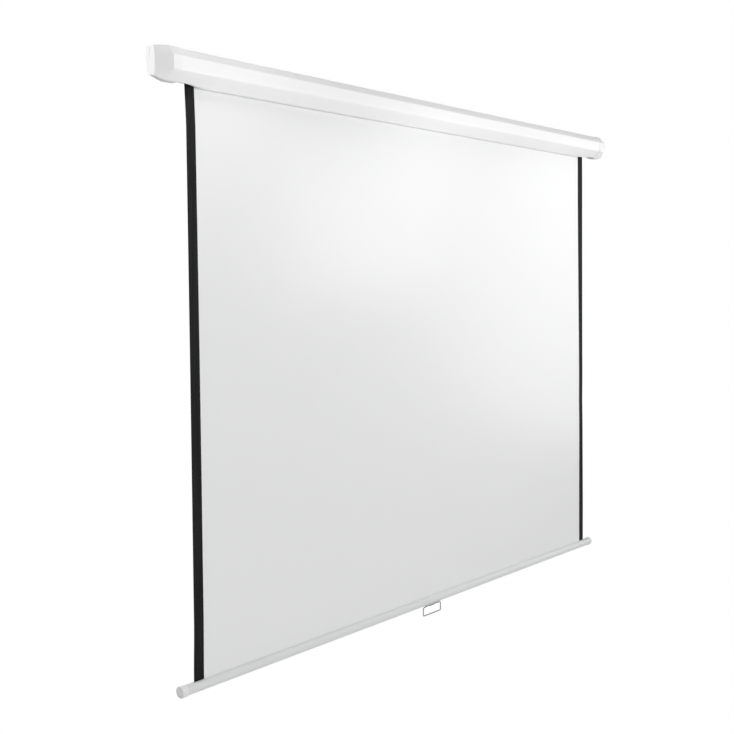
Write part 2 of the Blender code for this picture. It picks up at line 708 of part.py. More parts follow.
def sheet_piece(name, edges, columns, mat):
    """One strip of the hanging sheet between two edges, each a function of height."""
    bm = bmesh.new()
    layers = []
    for face_y in (-SHEET_THICK / 2, SHEET_THICK / 2):
        rows = []
        for row in range(SHEET_ROWS + 1):
            z = SHEET_TOP_Z + (SHEET_BOTTOM_Z - SHEET_TOP_Z) * row / SHEET_ROWS
            left, right = edges(z)
            verts = []
            for column in range(columns + 1):
                x = left + (right - left) * column / columns
                verts.append(bm.verts.new((x, SHEET_Y + sheet_billow(x, z) + face_y, z)))
            rows.append(verts)
        layers.append(rows)
    front, back = layers
    for row in range(SHEET_ROWS):
        for col in range(columns):
            for rows in layers:
                bm.faces.new((rows[row][col], rows[row][col + 1], rows[row + 1][col + 1], rows[row + 1][col]))
        for col in (0, columns):
            bm.faces.new((front[row][col], front[row + 1][col], back[row + 1][col], back[row][col]))
    for row in (0, SHEET_ROWS):
        for col in range(columns):
            bm.faces.new((front[row][col], front[row][col + 1], back[row][col + 1], back[row][col]))
    return make_object(name, bm, mat, smooth_deg=40)


def screen_sheet(mat):
    def edges(z):
        half = sheet_half_width(z) - BORDER_WIDTH - GAP
        return (-half, half)
    return sheet_piece("screen_sheet", edges, SHEET_COLUMNS, mat)


def sheet_border(name, side, mat):
    """Dark strip that frames one side of the picture."""
    def edges(z):
        outer = sheet_half_width(z)
        return tuple(sorted((side * outer, side * (outer - BORDER_WIDTH))))
    return sheet_piece(name, edges, 1, mat)


def bar_tube(mat, bar):
    """Weight bar: a tube open along its top for the sheet's hem."""
    half = BAR_SLOT / 2
    outline = []
    steps = ROUND
    for radius, order in ((BAR_R, 1), (BAR_BORE_R, -1)):
        start = math.asin(half / radius)
        arc = []
        for i in range(steps + 1):
            angle = start + (2.0 * math.pi - 2.0 * start) * i / steps
            arc.append((SHEET_Y + radius * math.sin(angle), BAR_Z + radius * math.cos(angle)))
        outline += arc[::order]
    tube = make_object("bar_tube", prism_x(outline, -BAR_HALF_LENGTH, BAR_HALF_LENGTH), mat, bar,
                       tuple(bar.location), 30)
    for index, x in enumerate(rivet_places()):
        hole = rod(BAR_Z - BAR_R - CUT_MARGIN, BAR_Z - BAR_BORE_R + CUT_MARGIN, RIVET_R + BORE_CLEARANCE,
                   (x, SHEET_Y), "Z")
        combine(tube, make_object("cut_bar_%d" % index, hole, None, bar, tuple(bar.location)), "DIFFERENCE")
    return tube


def hem_rod(mat, bar):
    """Rod in the sheet's hem that can't pull out through the bar's slot."""
    hem = rod(-SHEET_HALF, SHEET_HALF, HEM_ROD_R, (SHEET_Y, HEM_ROD_Z))
    return make_object("hem_rod", hem, mat, bar, tuple(bar.location), 40)


def bar_cap(name, side, mat, bar):
    """Plug in one end of the weight bar, a little wider than it, with a pocket in its face."""
    inner_x = BAR_CAP_OUTER - BAR_CAP_LENGTH
    profile = [
        (side * (inner_x - BAR_CAP_SPIGOT), 0.0),
        (side * (inner_x - BAR_CAP_SPIGOT), BAR_BORE_R - GAP),
        (side * inner_x, BAR_BORE_R - GAP),
        (side * inner_x, BAR_CAP_R),
    ]
    steps = 4
    for i in range(steps + 1):
        angle = math.pi / 2 * i / steps
        x = BAR_CAP_OUTER - BAR_CAP_ROUND + BAR_CAP_ROUND * math.sin(angle)
        profile.append((side * x, BAR_CAP_R - BAR_CAP_ROUND + BAR_CAP_ROUND * math.cos(angle)))
    profile.append((side * BAR_CAP_OUTER, 0.0))
    origin = tuple(bar.location)
    cap = make_object(name, turned(profile, (SHEET_Y, BAR_Z)), mat, bar, origin, 35)
    half_y, half_z = BAR_CAP_POCKET_WIDTH / 2, BAR_CAP_POCKET_HEIGHT / 2
    low = (side * (BAR_CAP_OUTER - BAR_CAP_POCKET_DEPTH), SHEET_Y - half_y, BAR_Z - half_z)
    high = (side * (BAR_CAP_OUTER + CUT_MARGIN), SHEET_Y + half_y, BAR_Z + half_z)
    combine(cap, make_object("cut_pocket_" + name, box(low, high), None, bar, origin), "DIFFERENCE")
    return cap


def rivet_places():
    reach = CLIP_LENGTH / 2 - RIVET_FROM_CLIP_END
    return [HANDLE_X - reach, HANDLE_X + reach]


def handle_clip(mat, bar):
    """Saddle riveted under the bar, with a barrel in its middle for the handle's wire."""
    limit = math.radians(CLIP_HALF_ANGLE_DEG)
    steps = 9
    outline = []
    for radius, order in ((CLIP_INNER_R, 1), (CLIP_OUTER_R, -1)):
        arc = []
        for i in range(steps + 1):
            angle = -limit + 2.0 * limit * i / steps
            arc.append((SHEET_Y + radius * math.sin(angle), BAR_Z - radius * math.cos(angle)))
        outline += arc[::order]
    origin = tuple(bar.location)
    start, end = HANDLE_X - CLIP_LENGTH / 2, HANDLE_X + CLIP_LENGTH / 2
    clip = make_object("handle_clip", prism_x(outline, start, end), mat, bar, origin, 30)

    seat = BAR_Z - CLIP_OUTER_R
    sink = [
        (seat - CUT_MARGIN, 0.0),
        (seat - CUT_MARGIN, RIVET_HEAD_R + BORE_CLEARANCE),
        (seat + GAP / 2, RIVET_HEAD_R + BORE_CLEARANCE),
        (seat + GAP / 2 + RIVET_HEAD, RIVET_R + BORE_CLEARANCE),
        (BAR_Z - CLIP_INNER_R + CUT_MARGIN, RIVET_R + BORE_CLEARANCE),
        (BAR_Z - CLIP_INNER_R + CUT_MARGIN, 0.0),
    ]
    for index, x in enumerate(rivet_places()):
        hole = turned(sink, (x, SHEET_Y), "Z", ROUND_SMALL)
        combine(clip, make_object("cut_clip_%d" % index, hole, None, bar, origin), "DIFFERENCE")

    bore = HANDLE_WIRE_R + WIRE_CLEARANCE
    barrel_r = bore + CLIP_BARREL_WALL
    b_start, b_end = HANDLE_X - CLIP_BARREL_LENGTH / 2, HANDLE_X + CLIP_BARREL_LENGTH / 2
    web_top = BAR_Z - CLIP_INNER_R - CLIP_THICK / 2
    web_half = barrel_r - GAP
    web = box((b_start, SHEET_Y - web_half, HANDLE_Z), (b_end, SHEET_Y + web_half, web_top))
    combine(clip, make_object("join_web", web, None, bar, origin), "UNION")
    barrel = rod(b_start, b_end, barrel_r, (SHEET_Y, HANDLE_Z))
    combine(clip, make_object("join_barrel", barrel, None, bar, origin), "UNION")
    hole = rod(b_start - CUT_MARGIN, b_end + CUT_MARGIN, bore, (SHEET_Y, HANDLE_Z))
    combine(clip, make_object("cut_barrel", hole, None, bar, origin), "DIFFERENCE")
    return clip


def clip_rivet(name, x, mat, bar):
    """Flush rivet through the clip and the bar's wall, so the wire can swing past under it."""
    seat = BAR_Z - CLIP_OUTER_R
    inside = BAR_Z - BAR_BORE_R + GAP
    profile = [
        (seat, 0.0),
        (seat, RIVET_HEAD_R),
        (seat + RIVET_HEAD, RIVET_R),
        (inside, RIVET_R),
        (inside, RIVET_HEAD_R * 0.85),
        (inside + RIVET_TAIL, RIVET_HEAD_R * 0.6),
        (inside + RIVET_TAIL, 0.0),
    ]
    rivet = turned(profile, (x, SHEET_Y), "Z", ROUND_SMALL)
    return make_object(name, rivet, mat, bar, tuple(bar.location), 40)


def handle_path():
    """The loop's centre line as (x, z) points, clockwise from the left end of its straight top."""
    half = HANDLE_WIDTH / 2
    straight = CLIP_BARREL_LENGTH / 2 + HANDLE_WIRE_R
    bottom = HANDLE_Z - HANDLE_HEIGHT
    shoulder = HANDLE_Z - HANDLE_ARCH
    right = [(straight * 0.4, HANDLE_Z), (straight, HANDLE_Z)]
    for i in range(1, 6):
        share = i / 6
        x = straight + (half - HANDLE_CORNER - straight) * share
        right.append((x, HANDLE_Z - HANDLE_ARCH * share * share))
    for top, start_deg in ((shoulder, 84.0), (bottom + HANDLE_CORNER, 0.0)):
        end_deg = start_deg - (84.0 if start_deg > 0.0 else 90.0)
        for i in range(7):
            angle = math.radians(start_deg + (end_deg - start_deg) * i / 6)
            centre_z = top - HANDLE_CORNER if start_deg > 0.0 else top
            x = half - HANDLE_CORNER + HANDLE_CORNER * math.cos(angle)
            right.append((x, centre_z + HANDLE_CORNER * math.sin(angle)))
    left = [(-x, z) for x, z in reversed(right)]
    return [(HANDLE_X + x, z) for x, z in right + left]


def pull_handle(mat, bar):
    """Closed wire loop, its top side through the clip's barrel."""
    path = handle_path()
    sides = 12
    bm = bmesh.new()
    rings = []
    for i, (x, z) in enumerate(path):
        before = path[i - 1]
        after = path[(i + 1) % len(path)]
        along_x, along_z = after[0] - before[0], after[1] - before[1]
        length = math.hypot(along_x, along_z)
        out_x, out_z = -along_z / length, along_x / length
        verts = []
        for j in range(sides):
            around = 2.0 * math.pi * j / sides
            reach = HANDLE_WIRE_R * math.cos(around)
            y = SHEET_Y + HANDLE_WIRE_R * math.sin(around)
            verts.append(bm.verts.new((x + out_x * reach, y, z + out_z * reach)))
        rings.append(verts)
    for first, second in zip(rings, rings[1:] + rings[:1]):
        for j in range(sides):
            k = (j + 1) % sides
            bm.faces.new((first[j], first[k], second[k], second[j]))
    return make_object("pull_handle", bm, mat, bar, (HANDLE_X, SHEET_Y, HANDLE_Z), 40)


def build():
    clear_scene()
    painted = make_material("white_painted_steel", (0.83, 0.84, 0.84), 0.35)
    moulded = make_material("white_moulded_plastic", (0.80, 0.81, 0.81), 0.45)
    plated = make_material("zinc_plated_steel", (0.62, 0.63, 0.64), 0.35, 1.0)
    spring_steel = make_material("oiled_spring_steel", (0.22, 0.22, 0.23), 0.4, 1.0)
    cast = make_material("cast_zinc", (0.50, 0.51, 0.53), 0.45, 1.0)
    nylon = make_material("natural_nylon", (0.75, 0.74, 0.70), 0.5)
    aluminium = make_material("roller_aluminium", (0.70, 0.71, 0.72), 0.4, 1.0)
    vinyl = make_material("matte_white_vinyl", (0.88, 0.88, 0.88), 0.75)
    mask = make_material("black_border_vinyl", (0.012, 0.012, 0.013), 0.6)
    grey_plastic = make_material("grey_plug_plastic", (0.55, 0.56, 0.56), 0.5)
    wire = make_material("bright_wire", (0.60, 0.61, 0.63), 0.25, 1.0)

    case_shell(painted)
    end_cap("end_cap_left", -1, moulded)
    end_cap("end_cap_right", 1, moulded)
    for index, (x, y) in enumerate(screw_places()):
        cap_screw("cap_screw_%d" % (index + 1), x, y, plated)
    side_plate("side_plate_left", -1, plated)
    side_plate("side_plate_right", 1, plated)
    idle_pin(plated)
    spring_shaft(plated)
    ring("shaft_collar", COLLAR_X, COLLAR_X + COLLAR_LENGTH, SHAFT_BORE_R, COLLAR_R, plated)
    ring("torsion_spring", SPRING_START_X, SPRING_END_X, SPRING_INNER_R, SPRING_OUTER_R, spring_steel)
    ratchet_wheel(cast)

    roller = make_empty("roller_axis", (0.0, ROLLER_Y, 0.0))
    ring("roller_tube", -TUBE_HALF_LENGTH, TUBE_HALF_LENGTH, TUBE_BORE_R, TUBE_R, aluminium, roller)
    ring("wound_fabric", -SHEET_HALF, SHEET_HALF, WOUND_IN_R, WOUND_OUT_R, vinyl, roller)
    ring("spring_anchor", ANCHOR_END_X - ANCHOR_LENGTH, ANCHOR_END_X, SHAFT_BORE_R, SPIGOT_R, nylon, roller)
    shaft_bush(nylon, roller)
    pawl_carrier(cast, roller)
    pawl_pin("pawl_pin_upper", 1, plated, roller)
    pawl_pin("pawl_pin_lower", -1, plated, roller)
    pawl("pawl_upper", 1, 0.0, plated, roller)
    pawl("pawl_lower", -1, PAWL_OPEN_DEG, plated, roller)
    idle_plug(nylon, roller)

    screen_sheet(vinyl)
    sheet_border("border_left", -1, mask)
    sheet_border("border_right", 1, mask)

    bar = make_empty("bar_centre", (0.0, SHEET_Y, BAR_Z))
    bar_tube(painted, bar)
    hem_rod(nylon, bar)
    bar_cap("bar_cap_left", -1, grey_plastic, bar)
    bar_cap("bar_cap_right", 1, grey_plastic, bar)
    handle_clip(plated, bar)
    for name, x in zip(("clip_rivet_left", "clip_rivet_right"), rivet_places()):
        clip_rivet(name, x, plated, bar)
    pull_handle(wire, bar)


build()
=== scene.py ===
import math

import bmesh
import bpy
from mathutils import Matrix, Vector


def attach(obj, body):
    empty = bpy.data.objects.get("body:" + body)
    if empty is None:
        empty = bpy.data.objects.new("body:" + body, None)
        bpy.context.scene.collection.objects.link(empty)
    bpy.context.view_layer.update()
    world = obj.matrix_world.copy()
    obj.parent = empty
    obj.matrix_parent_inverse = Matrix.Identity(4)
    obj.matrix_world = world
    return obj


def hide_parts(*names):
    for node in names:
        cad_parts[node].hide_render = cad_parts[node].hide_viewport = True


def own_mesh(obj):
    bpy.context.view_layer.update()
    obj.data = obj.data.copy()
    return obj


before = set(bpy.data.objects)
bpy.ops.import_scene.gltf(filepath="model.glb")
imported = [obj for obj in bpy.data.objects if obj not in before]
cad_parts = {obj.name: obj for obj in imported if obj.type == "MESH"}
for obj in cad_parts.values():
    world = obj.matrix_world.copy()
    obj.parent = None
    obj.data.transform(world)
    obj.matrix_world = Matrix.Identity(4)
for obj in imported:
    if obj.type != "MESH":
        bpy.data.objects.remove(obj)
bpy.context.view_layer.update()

# Sizes and places in metres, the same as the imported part's. Outlines are (y, z).
SHEET_Y = -0.019
SHEET_HALF = 0.878
SHEET_THICK = 0.0005
SHEET_BOTTOM_Z = -1.3513
ROLLER_Y = -0.03835
CASE_HALF = 0.943
CASE_WALL = 0.0008
CASE_FOLDS = [
    (-0.0405, -0.0360), (-0.066, -0.0150), (-0.066, 0.0142), (-0.048, 0.0338),
    (-0.006, 0.0338), (0.0, 0.0278), (0.0, -0.0245), (-0.023, -0.0360),
]
SLOT_REAR = -0.0135
CAP_PROUD = 0.0015
CAP_WALL = 0.0024
CAP_INNER = 0.9153
CAP_EDGE = 0.9453
CAP_OUTER = 0.9765
NOSE_FACE = [
    (-0.0416, -0.0343), (-0.0436, -0.0150), (-0.0436, 0.0142), (-0.0416, 0.0337),
    (-0.0144, 0.0337), (-0.0124, 0.0317), (-0.0124, -0.0218), (-0.0215, -0.0283),
]
SCREW_X = 0.930
SCREW_YS = (-0.040, -0.024)
BAR_Z = -1.362
BAR_R = 0.0117
BAR_HALF = 0.9027
BAR_WALL = 0.001
PLUG_IN = 0.903
PLUG_OUT = 0.919
PLUG_R = 0.013
HANDLE_X = 0.005
HANDLE_Z = BAR_Z - 0.0153
WIRE_R = 0.0015
RIVET_OFFSET = 0.027

# The case's lower front fold is rounder than in the solids
SOFT_FOLD = 0.007


# Shader nodes

def new_material(name, colour, roughness, metallic=0.0):
    mat = bpy.data.materials.new(name)
    mat.use_nodes = True
    shader = mat.node_tree.nodes["Principled BSDF"]
    shader.inputs["Base Color"].default_value = (*colour, 1.0)
    shader.inputs["Roughness"].default_value = roughness
    shader.inputs["Metallic"].default_value = metallic
    return mat


def add_node(mat, kind, **inputs):
    """A node with the named inputs set, where _ stands for a space."""
    node = mat.node_tree.nodes.new(kind)
    for key, value in inputs.items():
        node.inputs[key.replace("_", " ")].default_value = value
    return node


def join(mat, source, target):
    mat.node_tree.links.new(source, target)


def coords(mat, scale=(1.0, 1.0, 1.0)):
    """Object coordinates, stretched by a scale."""
    where = add_node(mat, "ShaderNodeTexCoord")
    mapping = add_node(mat, "ShaderNodeMapping", Scale=scale)
    join(mat, where.outputs["Object"], mapping.inputs["Vector"])
    return mapping.outputs["Vector"]


def noise(mat, vector, scale, detail=3.0, rough=0.5):
    node = add_node(mat, "ShaderNodeTexNoise", Scale=scale, Detail=detail, Roughness=rough)
    join(mat, vector, node.inputs["Vector"])
    return node.outputs["Fac"]


def spread(mat, factor, low, high):
    """Remap a 0 to 1 factor to a range."""
    node = add_node(mat, "ShaderNodeMapRange", To_Min=low, To_Max=high)
    join(mat, factor, node.inputs["Value"])
    return node.outputs["Result"]


def tinted(colour, factor):
    return tuple(c * factor for c in colour)


def colour_mix(mat, factor, first, second):
    node = add_node(mat, "ShaderNodeMix")
    node.data_type = "RGBA"
    node.inputs[6].default_value = (*first, 1.0)
    node.inputs[7].default_value = (*second, 1.0)
    join(mat, factor, node.inputs[0])
    return node.outputs[2]


def bump(mat, height, strength, distance):
    node = add_node(mat, "ShaderNodeBump", Strength=strength, Distance=distance)
    join(mat, height, node.inputs["Height"])
    return node.outputs["Normal"]


def finish_with(mat, colour, normal, roughness=None):
    shader = mat.node_tree.nodes["Principled BSDF"]
    join(mat, colour, shader.inputs["Base Color"])
    join(mat, normal, shader.inputs["Normal"])
    if roughness is not None:
        join(mat, roughness, shader.inputs["Roughness"])
    return mat


# Materials

def painted(name, colour, roughness):
    """Sprayed steel: a fine orange peel and a slight change of tone along its length."""
    mat = new_material(name, colour, roughness)
    vector = coords(mat)
    patches = noise(mat, coords(mat, (0.6, 4.0, 4.0)), 3.0, 2.0)
    tone = colour_mix(mat, patches, tinted(colour, 0.975), colour)
    rough = spread(mat, noise(mat, vector, 60.0), roughness - 0.05, roughness + 0.06)
    peel = noise(mat, vector, 900.0, 2.0, 0.6)
    return finish_with(mat, tone, bump(mat, peel, 0.12, 0.00012), rough)


def moulded(name, colour, roughness):
    """Injection moulded plastic with a spark-eroded texture."""
    mat = new_material(name, colour, roughness)
    mat.node_tree.nodes["Principled BSDF"].inputs["Specular IOR Level"].default_value = 0.45
    vector = coords(mat)
    tone = colour_mix(mat, noise(mat, vector, 25.0), tinted(colour, 0.96), colour)
    rough = spread(mat, noise(mat, vector, 120.0, 2.0), roughness - 0.05, roughness + 0.07)
    grain = noise(mat, vector, 1600.0, 4.0, 0.65)
    return finish_with(mat, tone, bump(mat, grain, 0.25, 0.00015), rough)


def metal(name, colour, roughness, stretch=(1.0, 1.0, 1.0)):
    """Bright metal, with drawn or rolled lines where it is stretched."""
    mat = new_material(name, colour, roughness, 1.0)
    lines = noise(mat, coords(mat, stretch), 60.0, 5.0, 0.7)
    patches = noise(mat, coords(mat), 90.0)
    tone = colour_mix(mat, patches, tinted(colour, 0.88), colour)
    rough = spread(mat, lines, roughness - 0.08, roughness + 0.12)
    return finish_with(mat, tone, bump(mat, lines, 0.1, 0.0001), rough)


def vinyl(name, colour, roughness, weave_depth, gloss=0.5, painted_crease_shade=0.0):
    """Coated screen cloth: a fine square weave under the coating, and in a dark one upright streaks of painted shade
    and painted highlight that stand for fine creases.
    """
    mat = new_material(name, colour, roughness)
    mat.node_tree.nodes["Principled BSDF"].inputs["Specular IOR Level"].default_value = gloss
    vector = coords(mat)
    weave = add_node(mat, "ShaderNodeMath")
    weave.operation = "ADD"
    for direction, height in (("X", weave.inputs[0]), ("Z", weave.inputs[1])):
        wave = add_node(mat, "ShaderNodeTexWave", Scale=700.0, Distortion=0.6, Detail=1.0)
        wave.bands_direction = direction
        join(mat, vector, wave.inputs["Vector"])
        join(mat, wave.outputs["Fac"], height)
    if painted_crease_shade:
        # Upright lighter and darker streaks in the colour: painted shade and painted highlight standing for fine
        # creases in the cloth
        lines = spread(mat, noise(mat, coords(mat, (1.0, 1.0, 0.012)), 420.0, 2.0), -1.0, 2.0)
        tone = colour_mix(mat, lines, tinted(colour, 1.0 - painted_crease_shade), tinted(colour, 1.0 + painted_crease_shade))
    else:
        tone = colour_mix(mat, noise(mat, vector, 2.5, 2.0), tinted(colour, 0.994), colour)
    return finish_with(mat, tone, bump(mat, weave.outputs[0], weave_depth, 0.00008))


PAINT = painted("satin_white_paint", (0.84, 0.84, 0.84), 0.33)
BAR_PAINT = painted("bar_white_paint", (0.739, 0.745, 0.747), 0.34)
PLASTIC = moulded("white_abs", (0.82, 0.82, 0.82), 0.46)
PLUG_PLASTIC = moulded("light_abs", (0.82, 0.82, 0.825), 0.5)
NYLON = moulded("natural_nylon", (0.74, 0.72, 0.66), 0.52)
ZINC = metal("zinc_plate", (0.62, 0.63, 0.65), 0.38)
CAST = metal("cast_zinc", (0.50, 0.51, 0.53), 0.5)
SPRING = metal("oiled_spring_steel", (0.20, 0.20, 0.21), 0.36, (1.0, 60.0, 60.0))
DRAWN = metal("drawn_aluminium", (0.72, 0.73, 0.74), 0.36, (1.0, 30.0, 30.0))
WIRE = metal("bright_wire", (0.50, 0.51, 0.53), 0.22, (1.0, 30.0, 1.0))
SHEET_WHITE = vinyl("matte_white_vinyl", (0.826, 0.831, 0.829), 0.27, 0.05)
SHEET_BLACK = vinyl("matte_black_vinyl", (0.009, 0.009, 0.009), 0.6, 0.3, gloss=0.13, painted_crease_shade=0.6)
SHEET_BACK = vinyl("black_backing", (0.018, 0.018, 0.019), 0.7, 0.3, gloss=0.3)


# Mesh tools

def smooth(t):
    """Ease from 0 to 1 over t from 0 to 1."""
    t = min(1.0, max(0.0, t))
    return t * t * (3.0 - 2.0 * t)


def lerp(a, b, t):
    """Outline between two outlines of equal point count."""
    return [(p[0] + (q[0] - p[0]) * t, p[1] + (q[1] - p[1]) * t) for p, q in zip(a, b)]


def shade(mesh, sharp_deg):
    """Smooth shading, sharp at folds of more than an angle."""
    mesh.shade_smooth()
    mesh.set_sharp_from_angle(angle=math.radians(sharp_deg))


def make_piece(name, bm, mats, body, sharp_deg=35.0):
    bmesh.ops.recalc_face_normals(bm, faces=bm.faces)
    mesh = bpy.data.meshes.new(name)
    bm.to_mesh(mesh)
    bm.free()
    shade(mesh, sharp_deg)
    for mat in mats:
        mesh.materials.append(mat)
    obj = bpy.data.objects.new(name, mesh)
    bpy.context.scene.collection.objects.link(obj)
    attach(obj, body)
    return obj


def bridge(bm, first, second):
    """Faces between two rings of equal count. A ring of one repeated vertex gives triangles."""
    count = len(first)
    for i in range(count):
        j = (i + 1) % count
        corners = list(dict.fromkeys((first[i], first[j], second[j], second[i])))
        if len(corners) > 2:
            bm.faces.new(corners)


def loft(rings):
    """Closed solid through rings of equal point count."""
    bm = bmesh.new()
    made = [[bm.verts.new(p) for p in ring] for ring in rings]
    for first, second in zip(made, made[1:]):
        bridge(bm, first, second)
    bm.faces.new(made[0])
    bm.faces.new(list(reversed(made[-1])))
    return bm


def prism_x(outline, xs):
    """Solid of one (y, z) outline, with a ring at each x."""
    return loft([[(x, y, z) for y, z in outline] for x in xs])


def box(low, high):
    outline = [(low[1], low[2]), (high[1], low[2]), (high[1], high[2]), (low[1], high[2])]
    return prism_x(outline, (low[0], high[0]))


def turned(profile, place, steps=48, axis="X"):
    """Solid of revolution from (along, radius) points that start and end at radius 0.

    The place is the axis's (y, z) for an axis along X, and its (x, y) for one along Z.
    """
    bm = bmesh.new()
    rings = []
    for along, radius in profile:
        if radius == 0.0:
            p = (along, place[0], place[1]) if axis == "X" else (place[0], place[1], along)
            rings.append([bm.verts.new(p)] * steps)
            continue
        ring = []
        for i in range(steps):
            a = 2.0 * math.pi * i / steps
            u, v = radius * math.cos(a), radius * math.sin(a)
            if axis == "X":
                ring.append(bm.verts.new((along, place[0] + u, place[1] + v)))
            else:
                ring.append(bm.verts.new((place[0] + u, place[1] + v, along)))
        rings.append(ring)
    for first, second in zip(rings, rings[1:]):
        bridge(bm, first, second)
    return bm


def rod(low, high, radius, place, steps, axis="X"):
    """Plain round bar, for holes."""
    return turned([(low, 0.0), (low, radius), (high, radius), (high, 0.0)], place, steps, axis)


def wire_ring(path, radius, sides):
    """Round wire along a closed loop of (x, y, z) points in a plane of constant y."""
    bm = bmesh.new()
    rings = []
    across = Vector((0.0, 1.0, 0.0))
    for i, p in enumerate(path):
        along = (Vector(path[(i + 1) % len(path)]) - Vector(path[i - 1])).normalized()
        out = along.cross(across).normalized()
        ring = []
        for j in range(sides):
            a = 2.0 * math.pi * j / sides
            ring.append(bm.verts.new(Vector(p) + out * radius * math.cos(a) + across * radius * math.sin(a)))
        rings.append(ring)
    for first, second in zip(rings, rings[1:] + rings[:1]):
        bridge(bm, first, second)
    return bm


def fillet(points, radii, steps, closed=True):
    """Round the corners of a polyline in (y, z) with true arcs, all alike or each with its own radius."""
    result = []
    count = len(points)
    if not isinstance(radii, list):
        radii = [radii] * count
    for i, (cy, cz) in enumerate(points):
        if not closed and i in (0, count - 1):
            result.append((cy, cz))
            continue
        py, pz = points[i - 1]
        ny, nz = points[(i + 1) % count]
        back = Vector((py - cy, pz - cz))
        ahead = Vector((ny - cy, nz - cz))
        half = back.angle(ahead) / 2
        r = radii[i]
        reach = r / math.tan(half)
        limit = 0.45 * min(back.length, ahead.length)
        if reach > limit:
            reach = limit
            r = reach * math.tan(half)
        middle = (back.normalized() + ahead.normalized()).normalized()
        centre = Vector((cy, cz)) + middle * (r / math.sin(half))
        start = Vector((cy, cz)) + back.normalized() * reach - centre
        end = Vector((cy, cz)) + ahead.normalized() * reach - centre
        turn = start.angle_signed(end)
        for step in range(steps + 1):
            p = start.copy()
            p.rotate(Matrix.Rotation(-turn * step / steps, 2))
            result.append((centre.x + p.x, centre.y + p.y))
    return result


def offset_closed(outline, distance):
    """Move a closed outline outwards, or inwards by a negative distance."""
    count = len(outline)
    area = sum(outline[i - 1][0] * outline[i][1] - outline[i][0] * outline[i - 1][1] for i in range(count))
    side = -1.0 if area < 0 else 1.0
    moved = []
    for i in range(count):
        a, b, c = outline[i - 1], outline[i], outline[(i + 1) % count]
        n1 = Vector((b[1] - a[1], -(b[0] - a[0]))).normalized() * side
        n2 = Vector((c[1] - b[1], -(c[0] - b[0]))).normalized() * side
        n = n1 + n2
        scale = 2.0 * distance / max(n.dot(n), 0.2)
        moved.append((b[0] + n.x * scale, b[1] + n.y * scale))
    return moved


def offset_open(path, wall):
    """Move an open path to its right by a wall."""
    normals = []
    for (y0, z0), (y1, z1) in zip(path, path[1:]):
        n = Vector((z1 - z0, -(y1 - y0)))
        normals.append(n.normalized())
    moved = []
    for i, (y, z) in enumerate(path):
        n = normals[max(i - 1, 0)] + normals[min(i, len(normals) - 1)]
        scale = 2.0 * wall / n.dot(n)
        moved.append((y + n.x * scale, z + n.y * scale))
    return moved


def cut(obj, cutters, operation="DIFFERENCE"):
    """Apply exact Booleans and drop the cutters."""
    for bm in cutters:
        bmesh.ops.recalc_face_normals(bm, faces=bm.faces)
        mesh = bpy.data.meshes.new("cutter")
        bm.to_mesh(mesh)
        bm.free()
        tool = bpy.data.objects.new("cutter", mesh)
        bpy.context.scene.collection.objects.link(tool)
        mod = obj.modifiers.new("cut", "BOOLEAN")
        mod.operation = operation
        mod.object = tool
        bpy.context.view_layer.update()
        shaped = bpy.data.meshes.new_from_object(obj.evaluated_get(bpy.context.evaluated_depsgraph_get()))
        obj.modifiers.clear()
        old = obj.data
        shaped.name = old.name
        obj.data = shaped
        bpy.data.meshes.remove(old)
        bpy.data.objects.remove(tool, do_unlink=True)
        bpy.data.meshes.remove(mesh)


def side_name(side):
    return "left" if side < 0 else "right"


# Case

def rear_facet_z(y):
    """Height of the case's lower rear facet."""
    (y0, z0), (y1, z1) = CASE_FOLDS[7], CASE_FOLDS[6]
    return z0 + (y - y0) / (y1 - y0) * (z1 - z0)


def make_case():
    """Folded shell. Between the end caps its front facet runs on and folds back along the slot."""
    fold_r, fold_steps, rear_lip = 0.0016, 5, 0.004
    fade_end, fade_length = 0.911, 0.09
    rear_z = rear_facet_z(SLOT_REAR)
    rear = [(SLOT_REAR, rear_z), (SLOT_REAR, rear_z + rear_lip)]
    (front_y, front_z), (next_y, next_z) = CASE_FOLDS[:2]
    slope = (front_z - next_z) / (front_y - next_y)
    middle = [-0.8 + 1.6 * i / 20 for i in range(21)]
    near_cap = [0.82, 0.83, 0.84, 0.85, 0.86, 0.87, 0.88, 0.89, 0.9, 0.912, CASE_HALF]
    rings = []
    for x in [-x for x in reversed(near_cap)] + middle + near_cap:
        # The facet runs on by 4 mm and folds back by 14 mm, and both fade out towards the caps
        share = smooth((fade_end - abs(x)) / fade_length)
        reach = 0.0003 + 0.0040 * share
        depth = 0.0011 + 0.0142 * share
        edge_y, edge_z = front_y + reach, front_z + slope * reach
        path = [
            (edge_y + depth + 0.0001, edge_z + 0.0034),
            (edge_y + depth, edge_z + 0.0008 + 0.0005 * share),
            (edge_y, edge_z),
        ] + CASE_FOLDS[1:7] + rear
        radii = [fold_r] * len(path)
        radii[3] = SOFT_FOLD
        outer = fillet(path, radii, fold_steps, closed=False)
        inner = offset_open(outer, CASE_WALL)
        rings.append([(x, y, z) for y, z in outer + inner[::-1]])
    obj = make_piece("case_skin", loft(rings), [PAINT], "case", 30.0)
    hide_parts("case_shell")


